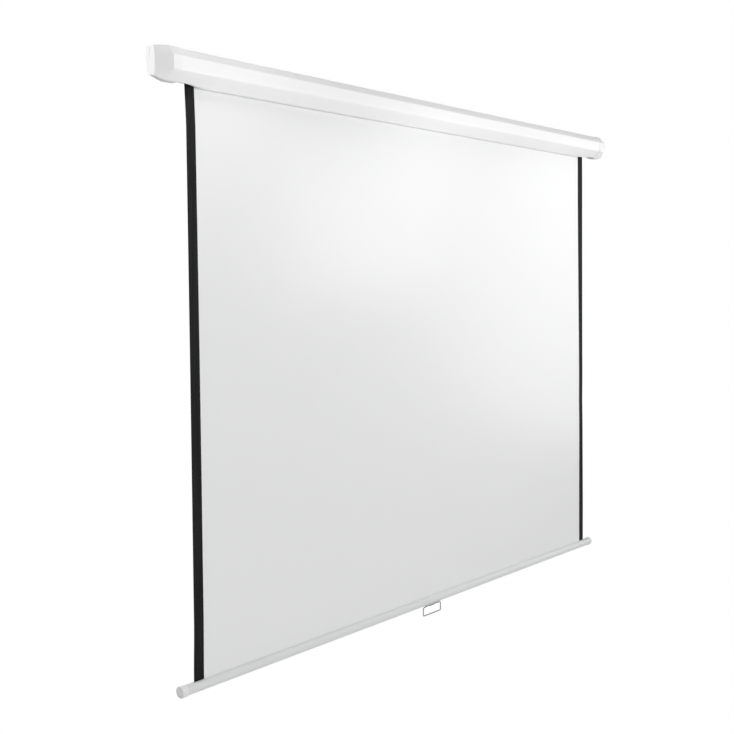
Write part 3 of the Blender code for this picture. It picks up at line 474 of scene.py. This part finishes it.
def make_cap(side):
    """Sleeve round the case's end, then a nose that tapers to a flat end with an upright recess."""
    name = side_name(side)
    sharp_deg = 28.0
    sleeve = [(min(y, 0.0), z) for y, z in offset_closed(CASE_FOLDS, CAP_PROUD)]
    length = CAP_OUTER - CAP_EDGE
    sleeve_r, end_r = 0.0024, 0.0060
    rim_soft, end_soft, blend = 0.0007, 0.0009, 0.0009
    rings = []

    def ring(x, outline, radius, shrink=0.0):
        points = fillet(outline, [radius, SOFT_FOLD] + [radius] * 6, 6)
        if shrink:
            points = offset_closed(points, -shrink)
        rings.append([(side * x, y, z) for y, z in points])

    def crown(t):
        """How far the nose's sides bow in, at a share of its length."""
        return 0.0015 * t ** 2.2

    # The sleeve, with a soft rim
    for i in range(4):
        a = math.pi / 2 * i / 3
        ring(CAP_INNER + rim_soft * (1 - math.sin(a)), sleeve, sleeve_r, rim_soft * (1 - math.cos(a)))
    rings.reverse()
    ring(CAP_EDGE - 0.006, sleeve, sleeve_r)

    # The bend from the sleeve to the nose
    for i in range(-4, 5):
        x = CAP_EDGE + blend * i / 4
        u = i / 4
        t = (u + 1) ** 2 / 4 * blend / length
        ring(x, lerp(sleeve, NOSE_FACE, t), sleeve_r + 0.0010 * t)

    # The nose and its rounded end
    for i in range(1, 13):
        t = blend / length + (1 - blend / length - end_soft / length) * i / 12
        ring(CAP_EDGE + length * t, lerp(sleeve, NOSE_FACE, t), sleeve_r + (end_r - sleeve_r) * t ** 0.7, crown(t))
    for i in range(1, 7):
        a = math.pi / 2 * i / 6
        t = 1 - end_soft / length * (1 - math.sin(a))
        shrink = crown(t) + end_soft * (1 - math.cos(a))
        ring(CAP_EDGE + length * t, lerp(sleeve, NOSE_FACE, min(t, 1.0)), end_r, shrink)
    ring(CAP_OUTER, NOSE_FACE, end_r, crown(1.0) + end_soft + 0.0006)
    obj = make_piece("cap_skin_" + name, loft(rings), [PLASTIC], "case", sharp_deg)

    # The pocket for the case, the hollow nose, the end's recess and the two screw holes
    pocket_end, hollow_start, hollow_end = 0.9433, 0.9413, 0.9715
    clearance, past_wall = 0.0003, 0.004
    pocket = offset_closed(CASE_FOLDS, clearance)
    pocket = [(y if y < -0.0001 else past_wall, z) for y, z in pocket]
    inner_edge = offset_closed(CASE_FOLDS, -CAP_WALL)
    inner_nose = offset_closed(NOSE_FACE, -CAP_WALL)
    hollow = loft([
        [(side * hollow_start, y, z) for y, z in inner_edge],
        [(side * CAP_EDGE, y, z) for y, z in inner_edge],
        [(side * hollow_end, y, z) for y, z in inner_nose],
    ])
    recess_front, recess_rear, recess_low, recess_high = -0.03025, -0.02575, 0.004, 0.029
    recess_r, recess_depth = 0.0012, 0.0005
    hole_low, hole_high, hole_r = 0.0333, 0.0373, 0.0019
    recess = fillet([
        (recess_front, recess_low), (recess_rear, recess_low), (recess_rear, recess_high), (recess_front, recess_high),
    ], recess_r, 4)
    tools = [
        prism_x(pocket, (side * (CAP_INNER - 0.002), side * pocket_end)),
        hollow,
        prism_x(recess, (side * (CAP_OUTER - recess_depth), side * (CAP_OUTER + 0.002))),
    ]
    tools += [rod(hole_low, hole_high, hole_r, (side * SCREW_X, y), 24, "Z") for y in SCREW_YS]
    cut(obj, tools)
    shade(obj.data, sharp_deg)
    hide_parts("end_cap_" + name)


def make_screw(node, x, y):
    """Domed screw with a cross recess, upright through the cap."""
    tip, seat, head_r, head_h, shank_r = 0.0296, 0.0356, 0.0033, 0.0018, 0.00145
    rim, sharp_deg = 0.0005, 40.0
    profile = [(tip, 0.0), (tip, shank_r * 0.7), (0.0304, shank_r)]
    profile += [(seat, shank_r), (seat, head_r - 0.0002), (seat + 0.0002, head_r), (seat + rim, head_r)]
    for i in range(1, 7):
        a = math.pi / 2 * i / 6
        profile.append((seat + rim + (head_h - rim) * math.sin(a), head_r * math.cos(a) if i < 6 else 0.0))
    obj = make_piece(node + "_head", turned(profile, (x, y), 32, "Z"), [ZINC], "case", sharp_deg)
    long, thin = 0.0021, 0.00042
    low, high = seat + head_h - 0.0011, seat + 0.003
    cut(obj, [box((x - long, y - thin, low), (x + long, y + thin, high)),
              box((x - thin, y - long, low), (x + thin, y + long, high))])
    shade(obj.data, sharp_deg)
    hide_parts(node)


# Sheet

# A faint crease that bends off to the right on its way down, as (x, z)
CREASE = [(-0.085, 0.0), (-0.085, -0.2), (-0.09, -0.35), (0.0, -0.5), (0.15, -0.61), (0.3, -0.69), (0.42, -0.745),
          (0.62, -0.81), (0.9, -0.87)]
CREASE_DEPTH = 0.0009
CREASE_WIDTH = 0.055
# Long shallow waves: depth, turns per metre across, turns down the sheet, phase in turns
WAVES = [(0.0011, 0.42, -0.30, 0.1), (0.0005, 0.95, 0.6, 0.3)]
# How far each side's edge curls into the room, and from how far in
LEFT_CURL = (0.0035, 0.12)
RIGHT_CURL = (0.0012, 0.06)
# Share of the drop over which the roller and the bar hold the sheet flat
HELD_FLAT = 0.10


def near_path(x, z, path):
    """Distance from a point to a polyline."""
    best = 1e9
    for (x0, z0), (x1, z1) in zip(path, path[1:]):
        dx, dz = x1 - x0, z1 - z0
        t = max(0.0, min(1.0, ((x - x0) * dx + (z - z0) * dz) / (dx * dx + dz * dz)))
        best = min(best, math.hypot(x - x0 - dx * t, z - z0 - dz * t))
    return best


def billow(x, z):
    """Depth of the hanging sheet off its plane, towards the wall: flat at the roller and at the bar."""
    share = z / SHEET_BOTTOM_Z
    hold = smooth(share / HELD_FLAT) * smooth((1.0 - share) / HELD_FLAT)
    depth = sum(deep * math.sin(2.0 * math.pi * (across * x + down * share + phase))
                for deep, across, down, phase in WAVES)
    depth += CREASE_DEPTH * math.exp(-(near_path(x, z, CREASE) / CREASE_WIDTH) ** 2)
    for inwards, (forward, width) in ((x + SHEET_HALF, LEFT_CURL), (SHEET_HALF - x, RIGHT_CURL)):
        depth -= forward * max(0.0, 1.0 - inwards / width) ** 2
    return depth * hold


def drawn_in(share):
    """How far the right side is drawn in, at a share of the drop."""
    return 0.0007 * math.sin(math.pi * share) ** 0.8


def border_widths(share):
    """The borders aren't quite even: the left one widens downwards, the right one is narrowest past its middle."""
    narrowest = 0.64
    left = 0.0268 + 0.0026 * share + 0.0008 * math.sin(math.pi * share)
    right = 0.0258 + 0.0042 * math.cos(math.pi * min(share / narrowest, 1.0))
    right += 0.0038 * smooth((share - narrowest) / (1.0 - narrowest))
    return left, right


def make_sheet():
    """White sheet with a black border on each side and a black back."""
    border_columns = [0.0, 0.35, 0.7, 1.0]
    rows, across = 120, 130
    black, backing = 1, 2
    bm = bmesh.new()

    def make_layer(face_y):
        grid = []
        for row in range(rows + 1):
            share = row / rows
            z = SHEET_BOTTOM_Z * share
            left, right = -SHEET_HALF, SHEET_HALF - drawn_in(share)
            wide_l, wide_r = border_widths(share)
            inner_l, inner_r = left + wide_l, right - wide_r
            xs = [left + wide_l * c for c in border_columns]
            xs += [inner_l + (inner_r - inner_l) * i / across for i in range(1, across)]
            xs += [inner_r + wide_r * c for c in border_columns]
            grid.append([bm.verts.new((x, SHEET_Y + face_y + billow(x, z), z)) for x in xs])
        return grid

    front, back = make_layer(-SHEET_THICK / 2), make_layer(SHEET_THICK / 2)
    count = len(front[0])
    border = len(border_columns) - 1
    for grid in (front, back):
        for row in range(rows):
            for col in range(count - 1):
                face = bm.faces.new((grid[row][col], grid[row][col + 1], grid[row + 1][col + 1], grid[row + 1][col]))
                if grid is back:
                    face.material_index = backing
                elif col < border or col > count - 2 - border:
                    face.material_index = black
    for row in range(rows):
        for col in (0, count - 1):
            face = bm.faces.new((front[row][col], front[row + 1][col], back[row + 1][col], back[row][col]))
            face.material_index = black
    for row in (0, rows):
        for col in range(count - 1):
            face = bm.faces.new((front[row][col], front[row][col + 1], back[row][col + 1], back[row][col]))
            face.material_index = backing
    obj = make_piece("hanging_sheet", bm, [SHEET_WHITE, SHEET_BLACK, SHEET_BACK], "case", 50.0)
    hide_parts("screen_sheet", "border_left", "border_right")
    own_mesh(obj)


def make_wound():
    """The turns left on the roller, as one spiral strip."""
    turns, layer, start_r, thick = 2.5, 0.0004, 0.0178, 0.0003
    steps = 150
    outer, inner = [], []
    for i in range(steps + 1):
        angle = 2.0 * math.pi * turns * i / steps - 2.0 * math.pi * turns
        r = start_r + layer * turns * i / steps
        c, s = math.cos(angle), math.sin(angle)
        outer.append((ROLLER_Y + r * c, r * s))
        inner.append((ROLLER_Y + (r - thick) * c, (r - thick) * s))
    bm = prism_x(outer + inner[::-1], [-SHEET_HALF + 2 * SHEET_HALF * i / 12 for i in range(13)])
    obj = make_piece("roll_of_fabric", bm, [SHEET_WHITE], "roller", 30.0)
    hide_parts("wound_fabric")


# Weight bar

def make_bar():
    """Round tube with a narrow slot along its top for the sheet's hem."""
    slot_half, steps = 0.0006, 72
    arcs = []
    for radius in (BAR_R, BAR_R - BAR_WALL):
        start = math.asin(slot_half / radius)
        angles = [start + (2.0 * math.pi - 2.0 * start) * i / steps for i in range(steps + 1)]
        arcs.append([(SHEET_Y + radius * math.sin(a), BAR_Z + radius * math.cos(a)) for a in angles])
    outer, inner = arcs
    xs = [-BAR_HALF + 2 * BAR_HALF * i / 16 for i in range(17)]
    obj = make_piece("bar_skin", prism_x(outer + inner[::-1], xs), [BAR_PAINT], "weight_bar", 30.0)
    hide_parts("bar_tube")


def make_plug(side):
    """End plug: a stem in the tube and a round flange with a square pocket in its face."""
    name = side_name(side)
    stem_end, stem_r = PLUG_IN - 0.020, 0.0104
    back_soft, face_soft = 0.0006, 0.0015
    quarter = [math.pi / 2 * i / 5 for i in range(6)]
    profile = [(stem_end, 0.0), (stem_end, stem_r - 0.001), (stem_end + 0.001, stem_r), (PLUG_IN, stem_r)]
    profile += [(PLUG_IN + back_soft * (1 - math.cos(a)), PLUG_R - back_soft * (1 - math.sin(a))) for a in quarter]
    profile += [(PLUG_OUT - face_soft * (1 - math.sin(a)), PLUG_R - face_soft * (1 - math.cos(a))) for a in quarter]
    profile += [(PLUG_OUT, PLUG_R - 0.0019), (PLUG_OUT, 0.0)]
    obj = make_piece("plug_" + name, turned([(side * x, r) for x, r in profile], (SHEET_Y, BAR_Z), 64),
                     [PLUG_PLASTIC], "weight_bar")
    half_y, half_z, pocket_r, pocket_depth = 0.007, 0.0085, 0.001, 0.004
    corners = [(SHEET_Y + y, BAR_Z + z)
               for y, z in ((-half_y, -half_z), (half_y, -half_z), (half_y, half_z), (-half_y, half_z))]
    pocket = fillet(corners, pocket_r, 4)
    cut(obj, [prism_x(pocket, (side * (PLUG_OUT - pocket_depth), side * (PLUG_OUT + 0.002)))])
    shade(obj.data, 35.0)
    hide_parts("bar_cap_" + name)


# Handle

def handle_points():
    """Closed loop of the wire: straight in the barrel, arched down to two shoulders, square below."""
    half, corner, arch, height = 0.0405, 0.0035, 0.0015, 0.0252
    straight = 0.0115
    bottom = HANDLE_Z - height
    shoulder = HANDLE_Z - arch
    right = [(0.3 * straight, HANDLE_Z), (0.7 * straight, HANDLE_Z), (straight, HANDLE_Z)]
    for i in range(1, 12):
        share = i / 12
        right.append((straight + (half - corner - straight) * share, HANDLE_Z - arch * share * share))
    # Corners from one angle to another; the upper one starts on the arch's slope
    for centre_z, first, last in ((shoulder - corner, 84.0, 0.0), (bottom + corner, 0.0, -90.0)):
        for i in range(13):
            a = math.radians(first + (last - first) * i / 12)
            right.append((half - corner + corner * math.cos(a), centre_z + corner * math.sin(a)))
    points = right + [(-x, z) for x, z in reversed(right)]
    return [(HANDLE_X + x, SHEET_Y, z) for x, z in points]


def make_handle():
    obj = make_piece("wire_loop", wire_ring(handle_points(), WIRE_R, 20), [WIRE], "handle", 60.0)
    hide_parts("pull_handle")


def make_clip():
    """Saddle under the bar: rounded ends, two countersunk holes and the barrel for the wire."""
    inner, outer = BAR_R + 0.0003, BAR_R + 0.0015
    limit, steps = math.radians(34.0), 24
    half, corner = 0.034, 0.004
    bm = bmesh.new()
    xs = [-half, -half + corner * 0.1, -half + corner * 0.3, -half + corner * 0.6, -half + corner]
    xs += [-half + corner + (2 * half - 2 * corner) * i / 8 for i in range(1, 8)]
    xs += [-x for x in reversed(xs[:5])]
    shells = []
    for radius in (inner, outer):
        grid = []
        for x in xs:
            over = max(0.0, abs(x) - (half - corner)) / corner
            trim = (1.0 - math.sqrt(max(0.0, 1.0 - over * over))) * corner / outer
            reach = limit - trim
            grid.append([bm.verts.new((HANDLE_X + x, SHEET_Y + radius * math.sin(a), BAR_Z - radius * math.cos(a)))
                         for a in (-reach + 2 * reach * i / steps for i in range(steps + 1))])
        shells.append(grid)
    a, b = shells
    for i in range(len(xs) - 1):
        for j in range(steps):
            bm.faces.new((a[i][j], a[i][j + 1], a[i + 1][j + 1], a[i + 1][j]))
            bm.faces.new((b[i][j], b[i + 1][j], b[i + 1][j + 1], b[i][j + 1]))
        for j in (0, steps):
            bm.faces.new((a[i][j], a[i + 1][j], b[i + 1][j], b[i][j]))
    for i in (0, len(xs) - 1):
        for j in range(steps):
            bm.faces.new((a[i][j], a[i][j + 1], b[i][j + 1], b[i][j]))
    obj = make_piece("clip_saddle", bm, [ZINC], "weight_bar")

    # Countersunk holes, with the seat on the saddle's underside
    seat = BAR_Z - outer
    hole_r, sink_r = 0.0017, 0.0029
    sink = [(seat - 0.002, 0.0), (seat - 0.002, sink_r), (seat + 0.00015, sink_r), (seat + 0.00085, hole_r),
            (seat + 0.003, hole_r), (seat + 0.003, 0.0)]
    cut(obj, [turned(sink, (HANDLE_X + x, SHEET_Y), 32, "Z") for x in (-RIVET_OFFSET, RIVET_OFFSET)])

    # The barrel, a web that joins it to the saddle, and the bore
    barrel_half, barrel_r, bore_r, soft = 0.010, 0.0030, 0.0019, 0.0003
    web_half_x, web_half_y = 0.0099, 0.0027
    web = box((HANDLE_X - web_half_x, SHEET_Y - web_half_y, HANDLE_Z),
              (HANDLE_X + web_half_x, SHEET_Y + web_half_y, BAR_Z - inner - 0.0006))
    left, right = HANDLE_X - barrel_half, HANDLE_X + barrel_half
    barrel = [(left, 0.0), (left, barrel_r - soft), (left + soft, barrel_r),
              (right - soft, barrel_r), (right, barrel_r - soft), (right, 0.0)]
    cut(obj, [web, turned(barrel, (SHEET_Y, HANDLE_Z), 40)], "UNION")
    cut(obj, [rod(HANDLE_X - 0.012, HANDLE_X + 0.012, bore_r, (SHEET_Y, HANDLE_Z), 32)])
    shade(obj.data, 35.0)
    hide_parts("handle_clip")


def make_rivet(side):
    """Flush rivet, as (z, radius) from the countersunk head up to the flattened tail inside the bar."""
    name = side_name(side)
    seat = BAR_Z - BAR_R - 0.0015
    inside = BAR_Z - BAR_R + 0.0013
    shank_r = 0.0014
    head = [(seat + 0.0002, 0.0), (seat + 0.0002, 0.0008), (seat, 0.0012), (seat, 0.0025), (seat + 0.0001, 0.0026),
            (seat + 0.0007, shank_r)]
    tail = [(inside, shank_r), (inside, 0.0021), (inside + 0.0004, 0.0022), (inside + 0.0009, 0.0019),
            (inside + 0.0012, 0.0012), (inside + 0.0012, 0.0)]
    obj = make_piece("rivet_" + name, turned(head + tail, (HANDLE_X + side * RIVET_OFFSET, SHEET_Y), 32, "Z"), [ZINC],
                     "weight_bar", 40.0)
    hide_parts("clip_rivet_" + name)


# Spring

def make_spring():
    """The wound wire round the fixed shaft, with closed turns at both ends."""
    start, end, mid_r, wire_r = 0.5, 0.8877, 0.0089, 0.0012
    turns, closed = 88.0, 3.0
    steps, sides = 18, 6
    closed_pitch = 2.0 * wire_r + 0.0001
    length = end - start - 2.0 * wire_r
    pitch = (length - 2.0 * closed * closed_pitch) / (turns - 2.0 * closed)
    along = Vector((1.0, 0.0, 0.0))
    rings = []
    for i in range(int(turns * steps) + 1):
        turn = i / steps
        low = min(turn, closed)
        high = max(0.0, turn - (turns - closed))
        x = start + wire_r + closed_pitch * (low + high) + pitch * (turn - low - high)
        a = 2.0 * math.pi * turn
        out = Vector((0.0, math.cos(a), math.sin(a)))
        centre = Vector((x, ROLLER_Y, 0.0)) + out * mid_r
        rings.append([centre + (out * math.cos(t) + along * math.sin(t)) * wire_r
                      for t in (2.0 * math.pi * j / sides for j in range(sides))])
    obj = make_piece("spring_coil", loft(rings), [SPRING], "case", 70.0)
    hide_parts("torsion_spring")


make_case()
make_cap(-1)
make_cap(1)
make_sheet()
make_wound()
make_bar()
make_plug(-1)
make_plug(1)
screw_places = [(x, y) for x in (-SCREW_X, SCREW_X) for y in SCREW_YS]
for index, (x, y) in enumerate(screw_places):
    make_screw("cap_screw_%d" % (index + 1), x, y)
make_clip()
make_rivet(-1)
make_rivet(1)
make_spring()
make_handle()

for mat, nodes in (
    (ZINC, ["side_plate_left", "side_plate_right", "idle_pin", "spring_shaft", "shaft_collar",
            "pawl_pin_upper", "pawl_pin_lower", "pawl_upper", "pawl_lower"]),
    (CAST, ["ratchet_wheel", "pawl_carrier"]),
    (DRAWN, ["roller_tube"]),
    (NYLON, ["spring_anchor", "shaft_bush", "idle_plug", "hem_rod"]),
):
    for node in nodes:
        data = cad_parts[node].data
        data.materials.clear()
        data.materials.append(mat)


# Floor, light and camera

def white_to_camera(tree, shader, kind, output):
    """The camera sees plain white, and everything else sees the shader itself."""
    path = tree.nodes.new("ShaderNodeLightPath")
    white = tree.nodes.new(kind)
    white.inputs["Color"].default_value = (1.0, 1.0, 1.0, 1.0)
    white.inputs["Strength"].default_value = 1.0
    mix = tree.nodes.new("ShaderNodeMixShader")
    tree.links.new(path.outputs["Is Camera Ray"], mix.inputs[0])
    tree.links.new(shader.outputs[0], mix.inputs[1])
    tree.links.new(white.outputs[0], mix.inputs[2])
    tree.links.new(mix.outputs[0], output.inputs["Surface"])


def make_floor(half, z):
    bm = bmesh.new()
    bmesh.ops.create_grid(bm, x_segments=1, y_segments=1, size=half)
    mesh = bpy.data.meshes.new("floor")
    bm.to_mesh(mesh)
    bm.free()
    floor = bpy.data.objects.new("floor", mesh)
    floor.location = (0.0, 0.0, z)
    bpy.context.scene.collection.objects.link(floor)
    mat = new_material("pale_floor", (0.8, 0.8, 0.8), 0.9)
    nodes = mat.node_tree.nodes
    white_to_camera(mat.node_tree, nodes["Principled BSDF"], "ShaderNodeEmission", nodes["Material Output"])
    mesh.materials.append(mat)


def make_world(strength):
    world = bpy.data.worlds.new("studio")
    bpy.context.scene.world = world
    world.use_nodes = True
    nodes = world.node_tree.nodes
    surround = nodes["Background"]
    surround.inputs["Color"].default_value = (1.0, 1.0, 1.0, 1.0)
    surround.inputs["Strength"].default_value = strength
    white_to_camera(world.node_tree, surround, "ShaderNodeBackground", nodes["World Output"])


def area_light(name, place, target, size, power, shape="SQUARE", beam=180.0):
    """Soft lamp aimed at a target, with its beam's spread in degrees."""
    data = bpy.data.lights.new(name, "AREA")
    data.shape = shape
    data.size = size
    data.spread = math.radians(beam)
    data.energy = power
    obj = bpy.data.objects.new(name, data)
    obj.location = place
    aim = Vector(target) - Vector(place)
    obj.rotation_mode = "QUATERNION"
    obj.rotation_quaternion = aim.to_track_quat("-Z", "Y")
    bpy.context.scene.collection.objects.link(obj)
    obj.visible_camera = False


def place_camera():
    """Set from the sheet's four corners in the photograph."""
    yaw, pitch, roll = math.radians(49.879), math.radians(2.338), math.radians(-0.572)
    upright = Vector((0.0, 0.0, 1.0))
    flat = Vector((math.sin(yaw), math.cos(yaw), 0.0))
    right = Vector((math.cos(yaw), -math.sin(yaw), 0.0))
    forward = math.cos(pitch) * flat - math.sin(pitch) * upright
    up = math.sin(pitch) * flat + math.cos(pitch) * upright
    tilted_right = math.cos(roll) * right + math.sin(roll) * up
    tilted_up = -math.sin(roll) * right + math.cos(roll) * up
    data = bpy.data.cameras.new("camera")
    data.sensor_width = 36.0
    data.lens = 53.024
    data.shift_y = -0.04128
    data.dof.use_dof = False
    cam = bpy.data.objects.new("camera", data)
    columns = Matrix((tilted_right, tilted_up, -forward)).transposed()
    cam.matrix_world = Matrix.Translation((-2.4362, -1.8444, -0.4893)) @ columns.to_4x4()
    bpy.context.scene.collection.objects.link(cam)
    bpy.context.scene.camera = cam


make_floor(half=9.0, z=-2.1)
make_world(strength=0.185)
area_light("key", (2.93, -1.08, -0.45), (0.3, 0.0, -0.35), 1.8, 11.7, shape="DISK")
area_light("key_near", (0.95, -1.1, -0.2), (0.5, 0.0, -0.25), 0.6, 2.96)
area_light("front", (0.3, -3.0, -0.3), (0.2, 0.0, -0.3), 1.2, 33.5)
area_light("far_left", (-2.6, -2.6, -0.1), (-0.2, 0.0, -0.5), 1.4, 25.7)
area_light("end", (-1.75, 0.42, 0.32), (-0.97, -0.03, 0.0), 0.6, 7.9)
area_light("end_low", (-1.9, -0.55, -1.2), (-0.8, 0.0, 0.0), 0.5, 1.31)
area_light("top", (0.2, -0.9, 1.6), (0.0, 0.0, -0.3), 1.6, 15.0)
area_light("low_right", (2.6, -0.35, -1.75), (0.2, 0.0, -0.1), 1.0, 1.44)
area_light("low_left", (-2.5, -0.3, -1.85), (-0.4, 0.0, -0.1), 1.0, 5.48)
area_light("beam_mid", (0.0, -1.6, -1.35), (0.0, -0.05, 0.18), 0.5, 0.237, beam=25.0)
area_light("beam_right", (0.75, -1.6, -1.35), (0.75, -0.05, 0.18), 0.5, 0.11, beam=25.0)
area_light("beam_low", (0.6, -1.2, -1.3), (-0.88, -0.05, 0.10), 0.4, 0.147, beam=20.0)
area_light("beam_high", (0.5, -1.2, 1.2), (-0.9, -0.05, 0.10), 0.4, 0.226, beam=20.0)
area_light("behind", (0.8, 3.2, 0.7), (0.0, 0.0, -0.3), 1.6, 60.0)
place_camera()
bpy.context.scene.view_settings.view_transform = "Standard"
